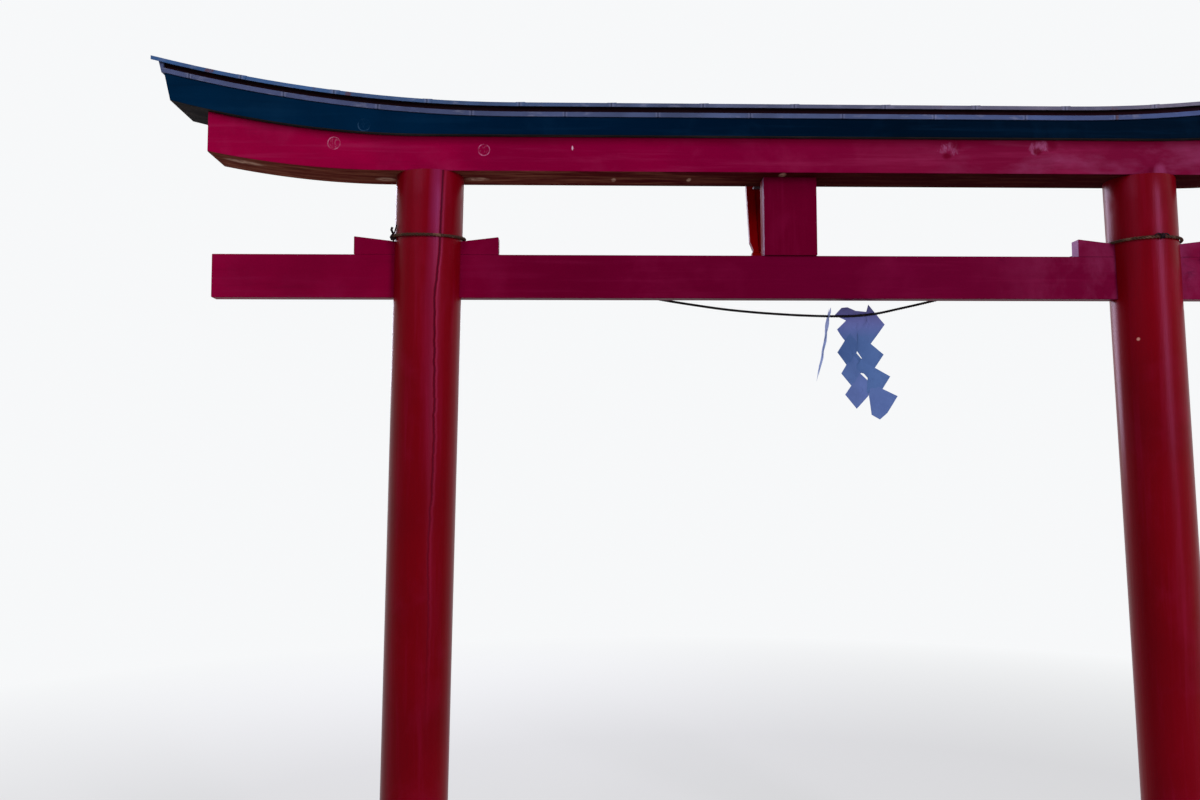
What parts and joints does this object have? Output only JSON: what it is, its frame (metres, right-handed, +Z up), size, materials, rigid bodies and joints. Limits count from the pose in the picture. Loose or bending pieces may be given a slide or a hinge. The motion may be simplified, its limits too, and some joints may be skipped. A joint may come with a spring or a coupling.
{
  "type": "torii gate",
  "caption": "Red timber torii gate with round leaning pillars, a wedged tie beam, upswept double lintel with a metal cap, plaque, rope and paper streamers.",
  "frame": {"origin": "middle of the left pillar's foot, on the ground plane", "axes": "+X along the gate to the right pillar, +Y through the passage towards the plaque's side, +Z up"},
  "size_m": [4.112, 0.321, 2.9887],
  "materials": {
    "pillar_lacquer": "glossy vermilion-crimson paint on a turned log, cracked and faded",
    "beam_lacquer": "semi-gloss crimson paint on planed timber",
    "lintel_lacquer": "semi-gloss crimson paint with knots showing through",
    "black_lacquer": "satin blue-black paint",
    "cap_wood": "dark weathered timber in shadow",
    "sheet_metal": "grey roofing sheet, rusted at the seams",
    "plaque_lacquer": "satin red paint",
    "hook_steel": "dull galvanised strap",
    "rope_fibre": "matt twisted plant-fibre rope, weathered",
    "streamer_paper": "matt folded white paper"
  },
  "bodies": {
    "root": {"pillar_left": "pillar_lacquer", "pillar_right": "pillar_lacquer", "tie_beam": "beam_lacquer", "wedge_left_outer": "beam_lacquer", "wedge_left_inner": "beam_lacquer", "wedge_right_inner": "beam_lacquer", "wedge_right_outer": "beam_lacquer", "centre_strut": "beam_lacquer", "lower_lintel": "lintel_lacquer", "upper_lintel": "black_lacquer", "band_front": "sheet_metal", "band_back": "sheet_metal", "band_left": "sheet_metal", "band_right": "sheet_metal", "cap_board": "cap_wood", "roof_sheet_left": "sheet_metal", "roof_sheet_middle": "sheet_metal", "roof_sheet_right": "sheet_metal", "plaque_panel": "plaque_lacquer", "plaque_frame_top": "plaque_lacquer", "plaque_frame_bottom": "plaque_lacquer", "plaque_frame_left": "plaque_lacquer", "plaque_frame_right": "plaque_lacquer", "plaque_hook": "hook_steel", "plaque_rest": "plaque_lacquer", "rope_loop_left": "rope_fibre", "rope_loop_right": "rope_fibre", "rope_knot_left": "rope_fibre", "rope_knot_right": "rope_fibre", "rope_span": "rope_fibre", "streamer_left": "streamer_paper", "streamer_right": "streamer_paper"}
  },
  "joints": []
}
